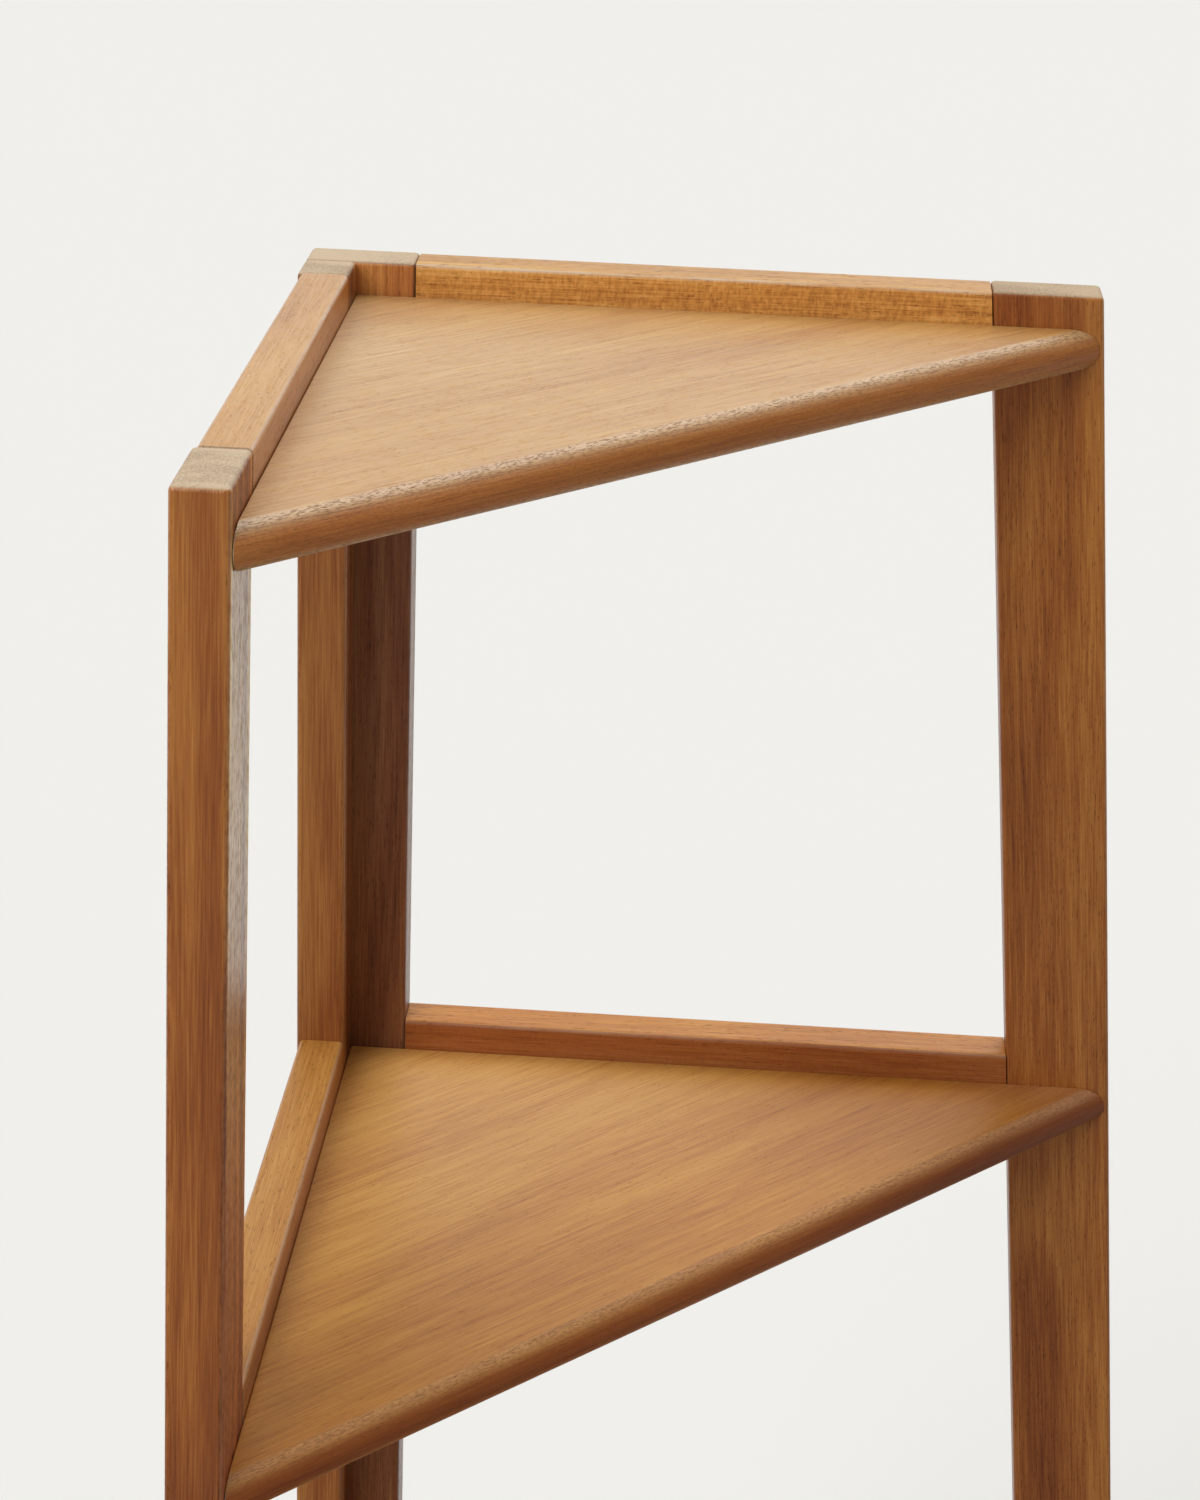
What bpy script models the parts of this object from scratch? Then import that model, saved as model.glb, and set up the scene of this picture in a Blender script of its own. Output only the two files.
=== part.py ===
# Corner shelving unit in oiled hardwood: two ladder frames bolted together at a
# right angle, with triangular bullnosed shelves between them.
# Metres, +Z up. The origin is on the floor, in the middle of the unit's footprint.
# The two outer faces that stand against the walls are the +Y side and the -X side.

from math import cos, pi, radians, sin, tan

import bmesh
import bpy
from mathutils import Matrix

# Overall sizes
HEIGHT = 1.630              # floor to the tops of the posts
RIGHT_WIDTH = 0.624         # outer width of the right ladder frame at its feet
LEFT_WIDTH = 0.636          # the same for the left frame, with the corner it butts on
LEAN = radians(5.5)         # how far the two front posts lean outwards

# Timber sections
POST_THICKNESS = 0.030      # also the thickness of a ladder frame
POST_WIDTH = 0.065
POST_EASE = 0.003           # rounding of the posts' edges
RAIL_HEIGHT = 0.060
RAIL_INSET = 0.002          # rail's outer face behind the posts' outer faces
RAIL_EASE = 0.003
SHELF_THICKNESS = 0.025
SHELF_EASE = 0.0008         # sanded edge of a shelf board
NOSE_FLAT = 0.0004          # what the full round leaves flat on the front edge
TIP_SETBACK = 0.0025        # shelf tips short of the front posts' outer edges

# Levels, from the top down
LEVELS = ("top", "upper", "lower", "bottom")
BOTTOM_RAIL_TOP = 0.145     # top edges of the lowest rails above the floor
SHELF_DROP = 0.020          # shelf's top face below the top edge of its rails

# Mortise and tenon joints
TENON_LENGTH = 0.022
TENON_THICKNESS = 0.012
TENON_SHOULDER = 0.008      # wood above and below a tenon

# Connector bolts and their inserts
BOLT_RADIUS = 0.003
BOLT_LENGTH = 0.040
HEAD_RADIUS = 0.0075
HEAD_THICKNESS = 0.004
HEAD_CHAMFER = 0.0008
SOCKET_FLATS = 0.004        # across the flats of the hexagon socket
SOCKET_DEPTH = 0.0025
COUNTERBORE_DEPTH = 0.006
INSERT_RADIUS = 0.005
INSERT_LENGTH = 0.018
INSERT_SETBACK = 0.0005     # insert below the face that it is sunk in
INSERT_HOLE_SPARE = 0.0035  # hole deeper than the insert
RAIL_BOLT_OFFSET = 0.040    # from a rail's shoulder to the shelf bolt beside it
CORNER_BOLT_DROP = 0.045    # from a rail's lower edge to the corner bolt below it

# Floor glides
GLIDE_HEIGHT = 0.004
GLIDE_RADIUS = 0.011
GLIDE_ROUND = 0.0015
PIN_RADIUS = 0.0025
PIN_LENGTH = 0.014
PIN_HOLE_SPARE = 0.002

# Clearances and facets
FIT_GAP = 0.0003            # between any two pieces that touch
CUT_MARGIN = 0.002          # how far a cutter stands out of the face that it enters
EASE_SEGMENTS = 3
NOSE_SEGMENTS = 7
BOLT_SIDES = 18
INSERT_SIDES = 12
GLIDE_SIDES = 18
SMOOTH_ANGLE = radians(40)


def clear_scene():
    for old in list(bpy.data.objects):
        bpy.data.objects.remove(old, do_unlink=True)
    for old in list(bpy.data.collections):
        bpy.data.collections.remove(old)


def make_material(name, colour, roughness, metallic=0.0):
    material = bpy.data.materials.new(name)
    material.use_nodes = True
    shader = material.node_tree.nodes["Principled BSDF"]
    shader.inputs["Base Color"].default_value = (*colour, 1.0)
    shader.inputs["Roughness"].default_value = roughness
    shader.inputs["Metallic"].default_value = metallic
    return material


# A ladder frame is drawn in its own plane: u runs along the frame from the unit's
# outer back corner, t inwards from the frame's outer face, and z up.
RIGHT_FRAME = Matrix(((1, 0, 0, 0), (0, -1, 0, 0), (0, 0, 1, 0), (0, 0, 0, 1)))
LEFT_FRAME = Matrix(((0, 1, 0, 0), (-1, 0, 0, 0), (0, 0, 1, 0), (0, 0, 0, 1)))
FRAMES = {"right": RIGHT_FRAME, "left": LEFT_FRAME}
WIDTHS = {"right": RIGHT_WIDTH, "left": LEFT_WIDTH}


def front_reach(side, z):
    """Outer edge of a front post at height z, measured from the back corner."""
    return WIDTHS[side] - (z - GLIDE_HEIGHT) * tan(LEAN)


def front_shoulder(side, z):
    """Inner edge of a front post at height z, where the rails end."""
    return front_reach(side, z) - POST_WIDTH


def rail_top(level):
    """The levels are spread evenly from the post tops down to the lowest rails."""
    spacing = (HEIGHT - BOTTOM_RAIL_TOP) / (len(LEVELS) - 1)
    return HEIGHT - level * spacing


def rail_bottom(level):
    return rail_top(level) - RAIL_HEIGHT


def shelf_top(level):
    return rail_top(level) - SHELF_DROP


def shelf_middle(level):
    return shelf_top(level) - SHELF_THICKNESS / 2


def add_piece(name, bm, material, root, frame=None):
    """Turn a finished bmesh into a named object, placed by its frame."""
    if frame is not None:
        bmesh.ops.transform(bm, matrix=frame, verts=bm.verts)
    bmesh.ops.recalc_face_normals(bm, faces=bm.faces)
    mesh = bpy.data.meshes.new(name)
    bm.to_mesh(mesh)
    bm.free()
    mesh.materials.append(material)
    mesh.shade_smooth()
    mesh.set_sharp_from_angle(angle=SMOOTH_ANGLE)
    piece = bpy.data.objects.new(name, mesh)
    bpy.context.collection.objects.link(piece)
    piece.parent = root
    return piece


def add_cutter(name, bm, root, frame=None):
    cutter = add_piece(name, bm, CUTTER_MATERIAL, root, frame)
    cutter.hide_render = True
    cutter.display_type = "WIRE"
    return cutter


def join_on(piece, addition):
    modifier = piece.modifiers.new(addition.name, "BOOLEAN")
    modifier.operation = "UNION"
    modifier.solver = "EXACT"
    modifier.object = addition


def cut(piece, cutter):
    """Take a cutter out of a piece; all the cutters of one piece share a modifier."""
    name = piece.name + "_cuts"
    if name not in bpy.data.collections:
        modifier = piece.modifiers.new(name, "BOOLEAN")
        modifier.operation = "DIFFERENCE"
        modifier.solver = "EXACT"
        modifier.operand_type = "COLLECTION"
        modifier.collection = bpy.data.collections.new(name)
    bpy.data.collections[name].objects.link(cutter)


def timber(left, right, t_range, z_range):
    """A straight piece whose two ends follow left(z) and right(z)."""
    bm = bmesh.new()
    bmesh.ops.create_cube(bm, size=1.0)
    for vert in bm.verts:
        z = z_range[1] if vert.co.z > 0 else z_range[0]
        t = t_range[1] if vert.co.y > 0 else t_range[0]
        u = right(z) if vert.co.x > 0 else left(z)
        vert.co = (u, t, z)
    bmesh.ops.recalc_face_normals(bm, faces=bm.faces)
    return bm


def ease(bm, edges, radius, segments=EASE_SEGMENTS):
    bmesh.ops.bevel(bm, geom=edges, offset=radius, offset_type="OFFSET", affect="EDGES",
                    segments=segments, profile=0.5, clamp_overlap=False, material=-1)


def ease_length(bm, radius):
    """Round the four edges that run along a rail."""
    long_edges = [edge for edge in bm.edges
                  if abs(edge.verts[0].co.z - edge.verts[1].co.z) < radius
                  and abs(edge.verts[0].co.y - edge.verts[1].co.y) < radius]
    ease(bm, long_edges, radius)


def turned(profile, sides, axis):
    """Spin a closed outline of (radius, distance along the axis) round the axis."""
    bm = bmesh.new()
    verts = [bm.verts.new((radius, 0, along)) for radius, along in profile]
    edges = [bm.edges.new(pair) for pair in zip(verts, verts[1:])]
    if profile[0][0] > 0:
        edges.append(bm.edges.new((verts[-1], verts[0])))
    bmesh.ops.spin(bm, geom=verts + edges, cent=(0, 0, 0), axis=(0, 0, 1),
                   angle=2 * pi, steps=sides, use_merge=True)
    bmesh.ops.remove_doubles(bm, verts=bm.verts, dist=0.00001)
    turn = {"t": Matrix.Rotation(-pi / 2, 4, "X"), "z": Matrix.Identity(4)}[axis]
    bmesh.ops.transform(bm, matrix=turn, verts=bm.verts)
    return bm


def move(bm, u, t, z):
    bmesh.ops.translate(bm, vec=(u, t, z), verts=bm.verts)
    return bm


def build_post(name, left, right, material, root, frame):
    bm = timber(left, right, (0, POST_THICKNESS), (GLIDE_HEIGHT, HEIGHT))
    ease(bm, bm.edges[:], POST_EASE)
    return add_piece(name, bm, material, root, frame)


def build_tenon_bar(side, level, clearance):
    """The bar that ends as a tenon in both posts, grown by a clearance for the mortises."""
    middle = (RAIL_INSET + POST_THICKNESS) / 2
    half = TENON_THICKNESS / 2 + clearance
    length = TENON_LENGTH + clearance
    return timber(lambda z: POST_WIDTH - length,
                  lambda z: front_shoulder(side, z) + length,
                  (middle - half, middle + half),
                  (rail_bottom(level) + TENON_SHOULDER - clearance,
                   rail_top(level) - TENON_SHOULDER + clearance))


def build_rail(side, level, material, root):
    name = f"{LEVELS[level]}_{side}_rail"
    frame = FRAMES[side]
    bm = timber(lambda z: POST_WIDTH + FIT_GAP,
                lambda z: front_shoulder(side, z) - FIT_GAP,
                (RAIL_INSET, POST_THICKNESS),
                (rail_bottom(level), rail_top(level)))
    ease_length(bm, RAIL_EASE)
    rail = add_piece(name, bm, material, root, frame)
    bar = add_cutter(name + "_tenons", build_tenon_bar(side, level, 0.0), root, frame)
    join_on(rail, bar)
    return rail


def build_ladder_frame(side, back_post_name, back_start, materials, root):
    """Two posts and a rail for each level, with the rails' tenons let into the posts."""
    frame = FRAMES[side]
    back_post = build_post(back_post_name, lambda z: back_start, lambda z: POST_WIDTH,
                           materials["post"], root, frame)
    front_post = build_post(side + "_front_post", lambda z: front_shoulder(side, z),
                            lambda z: front_reach(side, z), materials["post"], root, frame)
    rails = []
    for level in range(len(LEVELS)):
        rail = build_rail(side, level, materials["rail"], root)
        rails.append(rail)
        mortise = add_cutter(rail.name + "_mortises", build_tenon_bar(side, level, FIT_GAP),
                             root, frame)
        cut(back_post, mortise)
        cut(front_post, mortise)
    return back_post, front_post, rails


def build_shelf(name, level, material, root):
    """A right-angled triangle whose long front edge is rounded over its full thickness."""
    top = shelf_top(level)
    bottom = top - SHELF_THICKNESS
    inner = POST_THICKNESS + FIT_GAP
    right_tip = front_reach("right", shelf_middle(level)) - TIP_SETBACK
    left_tip = front_reach("left", shelf_middle(level)) - TIP_SETBACK
    bm = bmesh.new()
    outline = [bm.verts.new((x, -y, bottom))
               for x, y in ((inner, inner), (right_tip, inner), (inner, left_tip))]
    board = bm.faces.new(outline)
    lifted = bmesh.ops.extrude_face_region(bm, geom=[board])
    lifted_verts = [item for item in lifted["geom"] if isinstance(item, bmesh.types.BMVert)]
    bmesh.ops.translate(bm, vec=(0, 0, top - bottom), verts=lifted_verts)
    bmesh.ops.recalc_face_normals(bm, faces=bm.faces)

    nose_edges = [edge for edge in bm.edges
                  if abs(edge.verts[0].co.x - edge.verts[1].co.x) > inner
                  and abs(edge.verts[0].co.y - edge.verts[1].co.y) > inner]
    ease(bm, nose_edges, (SHELF_THICKNESS - NOSE_FLAT) / 2, NOSE_SEGMENTS)
    sharp_edges = [edge for edge in bm.edges if edge.calc_face_angle(0) > SMOOTH_ANGLE]
    ease(bm, sharp_edges, SHELF_EASE, 1)
    return add_piece(name, bm, material, root)


def hexagon_radius(angle, across_flats):
    """Distance from the centre to the side of a hexagon, at an angle."""
    sixth = pi / 3
    from_flat = (angle % sixth) - sixth / 2
    return across_flats / 2 / cos(from_flat)


def bolt_mesh():
    """Flat-headed connector bolt along +t, with the underside of its head at t = 0."""
    rim = HEAD_RADIUS - HEAD_CHAMFER
    socket = SOCKET_FLATS / 2
    profile = ((0, SOCKET_DEPTH - HEAD_THICKNESS), (socket, SOCKET_DEPTH - HEAD_THICKNESS),
               (socket, -HEAD_THICKNESS), (rim, -HEAD_THICKNESS),
               (HEAD_RADIUS, HEAD_CHAMFER - HEAD_THICKNESS), (HEAD_RADIUS, 0),
               (BOLT_RADIUS, 0), (BOLT_RADIUS, BOLT_LENGTH), (0, BOLT_LENGTH))
    bm = turned(profile, BOLT_SIDES, "z")
    for vert in bm.verts:
        radius = vert.co.xy.length
        if abs(radius - socket) < SOCKET_FLATS / 20 and vert.co.z < 0:
            angle = vert.co.xy.angle_signed((1, 0))
            hexagon = hexagon_radius(angle, SOCKET_FLATS)
            vert.co.x *= hexagon / radius
            vert.co.y *= hexagon / radius
    bmesh.ops.transform(bm, matrix=Matrix.Rotation(-pi / 2, 4, "X"), verts=bm.verts)
    return bm


def insert_mesh():
    """Bushing with a bore for the bolt, along +t from the face that it is sunk in."""
    bore = BOLT_RADIUS + FIT_GAP
    profile = ((bore, 0), (INSERT_RADIUS, 0), (INSERT_RADIUS, INSERT_LENGTH),
               (bore, INSERT_LENGTH))
    return turned(profile, INSERT_SIDES, "t")


def stepped_hole(seat):
    """Counterbore for the head, clearance hole for the shank and hole for the insert."""
    head = HEAD_RADIUS + FIT_GAP
    shank = BOLT_RADIUS + FIT_GAP
    insert = INSERT_RADIUS + FIT_GAP
    face = POST_THICKNESS + FIT_GAP / 2
    end = POST_THICKNESS + INSERT_SETBACK + INSERT_LENGTH + INSERT_HOLE_SPARE
    profile = ((0, -CUT_MARGIN), (head, -CUT_MARGIN), (head, seat), (shank, seat),
               (shank, face), (insert, face), (insert, end), (0, end))
    return turned(profile, BOLT_SIDES, "t")


def build_fastener(place, outer_face, u, z, through, into, materials, root, frame):
    """One bolt and its insert, and the holes for them in the two pieces they join."""
    seat = outer_face + COUNTERBORE_DEPTH
    hole = add_cutter(place + "_hole", move(stepped_hole(seat), u, 0, z), root, frame)
    cut(through, hole)
    cut(into, hole)
    add_piece(place + "_bolt", move(bolt_mesh(), u, seat - FIT_GAP, z),
              materials["bolt"], root, frame)
    insert_start = POST_THICKNESS + FIT_GAP + INSERT_SETBACK
    add_piece(place + "_insert", move(insert_mesh(), u, insert_start, z),
              materials["insert"], root, frame)


def build_glide(name, post, u, t, material, root, frame):
    """Turned floor glide: a rounded disc on a pin that is pressed into the post's foot."""
    under = GLIDE_HEIGHT - FIT_GAP
    profile = [(0, 0), (GLIDE_RADIUS - GLIDE_ROUND, 0)]
    for step in (1, 2, 3):
        angle = step * pi / 6
        profile.append((GLIDE_RADIUS - GLIDE_ROUND * (1 - sin(angle)),
                        GLIDE_ROUND * (1 - cos(angle))))
    profile += [(GLIDE_RADIUS, under), (PIN_RADIUS, under),
                (PIN_RADIUS, under + PIN_LENGTH), (0, under + PIN_LENGTH)]
    add_piece(name, move(turned(profile, GLIDE_SIDES, "z"), u, t, 0), material, root, frame)

    hole_radius = PIN_RADIUS + FIT_GAP
    hole_end = under + PIN_LENGTH + PIN_HOLE_SPARE
    hole_profile = ((0, -CUT_MARGIN), (hole_radius, -CUT_MARGIN),
                    (hole_radius, hole_end), (0, hole_end))
    hole = turned(hole_profile, GLIDE_SIDES, "z")
    cut(post, add_cutter(name + "_hole", move(hole, u, t, 0), root, frame))


clear_scene()
CUTTER_MATERIAL = make_material("cutter", (0.8, 0.1, 0.1), 0.5)
MATERIALS = {
    "post": make_material("oiled_hardwood_posts", (0.36, 0.15, 0.045), 0.45),
    "rail": make_material("oiled_hardwood_rails", (0.45, 0.21, 0.07), 0.45),
    "shelf": make_material("oiled_hardwood_shelves", (0.53, 0.27, 0.11), 0.42),
    "bolt": make_material("zinc_plated_steel", (0.62, 0.62, 0.60), 0.30, 1.0),
    "insert": make_material("yellow_zinc_steel", (0.62, 0.50, 0.28), 0.40, 1.0),
    "glide": make_material("brown_nylon", (0.06, 0.035, 0.02), 0.55),
}

unit = bpy.data.objects.new("corner_shelving_unit", None)
unit.location = (-RIGHT_WIDTH / 2, LEFT_WIDTH / 2, 0)
bpy.context.collection.objects.link(unit)

# The right frame's back post fills the corner. The left frame's back post is
# narrower by one thickness and butts against it.
corner_post, right_front_post, right_rails = build_ladder_frame(
    "right", "right_corner_post", 0.0, MATERIALS, unit)
left_start = POST_THICKNESS + FIT_GAP
left_corner_post, left_front_post, left_rails = build_ladder_frame(
    "left", "left_corner_post", left_start, MATERIALS, unit)

for level, level_name in enumerate(LEVELS):
    shelf = build_shelf(level_name + "_shelf", level, MATERIALS["shelf"], unit)
    shelf_z = shelf_middle(level)
    for side, rails in (("right", right_rails), ("left", left_rails)):
        bolt_places = {"back": POST_WIDTH + RAIL_BOLT_OFFSET,
                       "front": front_shoulder(side, shelf_z) - RAIL_BOLT_OFFSET}
        for end, bolt_u in bolt_places.items():
            build_fastener(f"{level_name}_{side}_{end}", RAIL_INSET, bolt_u, shelf_z,
                           rails[level], shelf, MATERIALS, unit, FRAMES[side])
    build_fastener(f"{level_name}_corner", 0.0, POST_THICKNESS / 2,
                   rail_bottom(level) - CORNER_BOLT_DROP, corner_post, left_corner_post,
                   MATERIALS, unit, RIGHT_FRAME)

feet = (("right_corner", corner_post, POST_WIDTH / 2),
        ("right_front", right_front_post, RIGHT_WIDTH - POST_WIDTH / 2),
        ("left_corner", left_corner_post, (left_start + POST_WIDTH) / 2),
        ("left_front", left_front_post, LEFT_WIDTH - POST_WIDTH / 2))
for foot, post, foot_u in feet:
    build_glide(foot + "_glide", post, foot_u, POST_THICKNESS / 2, MATERIALS["glide"], unit,
                FRAMES[foot.split("_")[0]])

bpy.context.view_layer.update()
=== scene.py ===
from math import cos, pi, radians, sin

import bmesh
import bpy
from mathutils import Matrix, Vector


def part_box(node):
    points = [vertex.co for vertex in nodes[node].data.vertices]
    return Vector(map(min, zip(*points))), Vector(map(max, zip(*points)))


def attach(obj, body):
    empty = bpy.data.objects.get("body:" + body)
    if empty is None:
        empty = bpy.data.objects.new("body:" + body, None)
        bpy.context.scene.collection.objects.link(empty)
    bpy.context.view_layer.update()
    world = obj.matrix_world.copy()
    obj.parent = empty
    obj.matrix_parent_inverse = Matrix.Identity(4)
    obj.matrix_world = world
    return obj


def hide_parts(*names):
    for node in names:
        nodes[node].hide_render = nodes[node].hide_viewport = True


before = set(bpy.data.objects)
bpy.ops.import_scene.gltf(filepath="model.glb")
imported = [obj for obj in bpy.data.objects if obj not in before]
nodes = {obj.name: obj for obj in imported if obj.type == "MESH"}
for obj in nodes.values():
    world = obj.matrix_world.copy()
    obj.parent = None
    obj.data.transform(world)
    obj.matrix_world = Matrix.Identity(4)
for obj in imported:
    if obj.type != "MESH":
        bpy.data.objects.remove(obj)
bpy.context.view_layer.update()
scene = bpy.context.scene
scene.view_settings.view_transform = "Standard"
print("frame loaded, nodes:", len(nodes))


# Camera at the photograph's place
camera = {
    "lens": 79.63,                        # mm
    "sensor": 36.0,                       # mm, along the picture's long side
    "reach": 200.0,                       # metres
    "place": (-0.0400, -1.6151, 2.0955),
    "turn": (68.076, -1.985, 3.450),      # degrees
}

cameraData = bpy.data.cameras.new("productCamera")
cameraData.lens = camera["lens"]
cameraData.sensor_width = camera["sensor"]
cameraData.clip_end = camera["reach"]
cameraObject = bpy.data.objects.new("productCamera", cameraData)
cameraObject.location = camera["place"]
cameraObject.rotation_euler = [radians(angle) for angle in camera["turn"]]
scene.collection.objects.link(cameraObject)
scene.camera = cameraObject
print("camera placed")


# Small helpers for colours and shader nodes
def colour(red, green, blue):
    # 0 to 255 as a picture shows them, turned into what a shader expects
    parts = [value / 255 for value in (red, green, blue)]
    return tuple(p / 12.92 if p <= 0.04045 else ((p + 0.055) / 1.055) ** 2.4 for p in parts) + (1.0,)


nodeLayout = {"columns": 12, "width": 180, "height": 260}


def addNode(tree, kind, sockets=None, **settings):
    made = tree.nodes.new(kind)
    row, column = divmod(len(tree.nodes), nodeLayout["columns"])
    made.location = (nodeLayout["width"] * column, -nodeLayout["height"] * row)
    for name, value in settings.items():
        setattr(made, name, value)
    for socket, value in (sockets or {}).items():
        if isinstance(value, bpy.types.NodeSocket):
            tree.links.new(value, made.inputs[socket])
        else:
            made.inputs[socket].default_value = value
    return made


def maths(tree, operation, *values, clamp=False):
    return addNode(tree, "ShaderNodeMath", dict(enumerate(values)),
                   operation=operation, use_clamp=clamp).outputs[0]


def smoothStep(tree, value, low, high):
    return addNode(tree, "ShaderNodeMapRange", {0: value, 1: low, 2: high},
                   interpolation_type="SMOOTHSTEP").outputs[0]


def mixColours(tree, factor, first, second, blend="MIX"):
    return addNode(tree, "ShaderNodeMix", {0: factor, 6: first, 7: second},
                   data_type="RGBA", blend_type=blend).outputs[2]


def stretched(tree, vector, stretch):
    return addNode(tree, "ShaderNodeVectorMath", {0: vector, 1: stretch},
                   operation="MULTIPLY").outputs[0]


def noiseNode(tree, vector, stretch, detail, roughness):
    return addNode(tree, "ShaderNodeTexNoise",
                   {"Vector": stretched(tree, vector, stretch), "Scale": 1.0,
                    "Detail": detail, "Roughness": roughness})


def noise(tree, vector, look):
    return noiseNode(tree, vector, *look).outputs[0]


# Studio: a bright back wall, a dim room in front of it and three wide soft lamps, all far
# away, so that the floor stays even to its far edge
studio = {
    "roomLight": (0.28, 0.55),            # strength in front and at the back wall
    "roomGloss": (0.10, 1.15),            # the same, as glossy surfaces see it
    "wallDepth": (0.30, 0.80),            # how far back the wall starts and is full, as a cosine
    "wallRise": (0.60, 0.26),             # how high it ends and is full, as a sine
    "lamps": {                            # strength, spread and turn in degrees
        "topLamp": (0.87, 52.0, (-18.0, 8.0, 0.0)),      # above
        "backLamp": (0.75, 40.0, (-43.0, 14.0, 0.0)),    # behind and a little to the right
        "sideLamp": (1.40, 40.0, (36.9, -38.7, 0.0)),    # above, in front and to the left
    },
    "backdrop": colour(240, 239, 235),
    "floorBounce": (0.42, 0.40, 0.37, 1.0),
    "floorDark": (0.10, 0.095, 0.09, 1.0),  # the floor in front, as glossy surfaces see it
    "floorGloss": (0.2, 1.6),             # how far back the floor starts to gleam and is full
    "floorSize": 60.0,
}


def seenDirectly(tree):
    path = addNode(tree, "ShaderNodeLightPath").outputs
    direct = maths(tree, "MAXIMUM", path["Is Camera Ray"], path["Is Transmission Ray"])
    return direct, path["Is Glossy Ray"]


world = bpy.data.worlds.new("studioSky")
scene.world = world
world.use_nodes = True
world.node_tree.nodes.clear()
worldTree = world.node_tree
direction = addNode(worldTree, "ShaderNodeSeparateXYZ",
                    {0: addNode(worldTree, "ShaderNodeTexCoord").outputs["Generated"]}).outputs
wallShare = maths(worldTree, "MULTIPLY", smoothStep(worldTree, direction[1], *studio["wallDepth"]),
                  maths(worldTree, "SUBTRACT", 1.0,
                        smoothStep(worldTree, direction[2], *reversed(studio["wallRise"]))))


def roomStrength(front, wall):
    return maths(worldTree, "MULTIPLY_ADD", wallShare, wall - front, front)


skyLight = addNode(worldTree, "ShaderNodeBackground",
                   {"Color": (1.0, 1.0, 1.0, 1.0), "Strength": roomStrength(*studio["roomLight"])})
isDirect, isGlossy = seenDirectly(worldTree)
glossStrength = maths(worldTree, "SUBTRACT", roomStrength(*studio["roomGloss"]), 1.0)
skySeen = addNode(worldTree, "ShaderNodeBackground",
                  {"Color": studio["backdrop"],
                   "Strength": maths(worldTree, "MULTIPLY_ADD", glossStrength, isGlossy, 1.0)})
skyMix = addNode(worldTree, "ShaderNodeMixShader",
                 {0: maths(worldTree, "MAXIMUM", isDirect, isGlossy),
                  1: skyLight.outputs[0], 2: skySeen.outputs[0]})
addNode(worldTree, "ShaderNodeOutputWorld", {"Surface": skyMix.outputs[0]})

for lampName, (strength, spread, turn) in studio["lamps"].items():
    lampData = bpy.data.lights.new(lampName, "SUN")
    lampData.energy = strength
    lampData.angle = radians(spread)
    lampObject = bpy.data.objects.new(lampName, lampData)
    lampObject.rotation_euler = [radians(angle) for angle in turn]
    scene.collection.objects.link(lampObject)

floorPaint = bpy.data.materials.new("paleFloor")
floorPaint.use_nodes = True
floorTree = floorPaint.node_tree
floorTree.nodes.clear()
floorPlace = addNode(floorTree, "ShaderNodeTexCoord").outputs["Object"]
farBack = smoothStep(floorTree, addNode(floorTree, "ShaderNodeSeparateXYZ", {0: floorPlace}).outputs[1],
                     *studio["floorGloss"])
isDirect, isGlossy = seenDirectly(floorTree)
glossColour = mixColours(floorTree, farBack, studio["floorDark"], studio["backdrop"])
floorColour = mixColours(floorTree, isGlossy, studio["floorBounce"], glossColour)
floorColour = mixColours(floorTree, isDirect, floorColour, studio["backdrop"])
floorSurface = addNode(floorTree, "ShaderNodeBsdfDiffuse", {"Color": floorColour})
addNode(floorTree, "ShaderNodeOutputMaterial", {"Surface": floorSurface.outputs[0]})

floorMesh = bpy.data.meshes.new("studioFloor")
bm = bmesh.new()
bmesh.ops.create_grid(bm, x_segments=1, y_segments=1, size=studio["floorSize"] / 2)
bm.to_mesh(floorMesh)
bm.free()
floorMesh.materials.append(floorPaint)
studioFloor = bpy.data.objects.new("studioFloor", floorMesh)
scene.collection.objects.link(studioFloor)
print("studio lit")


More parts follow.
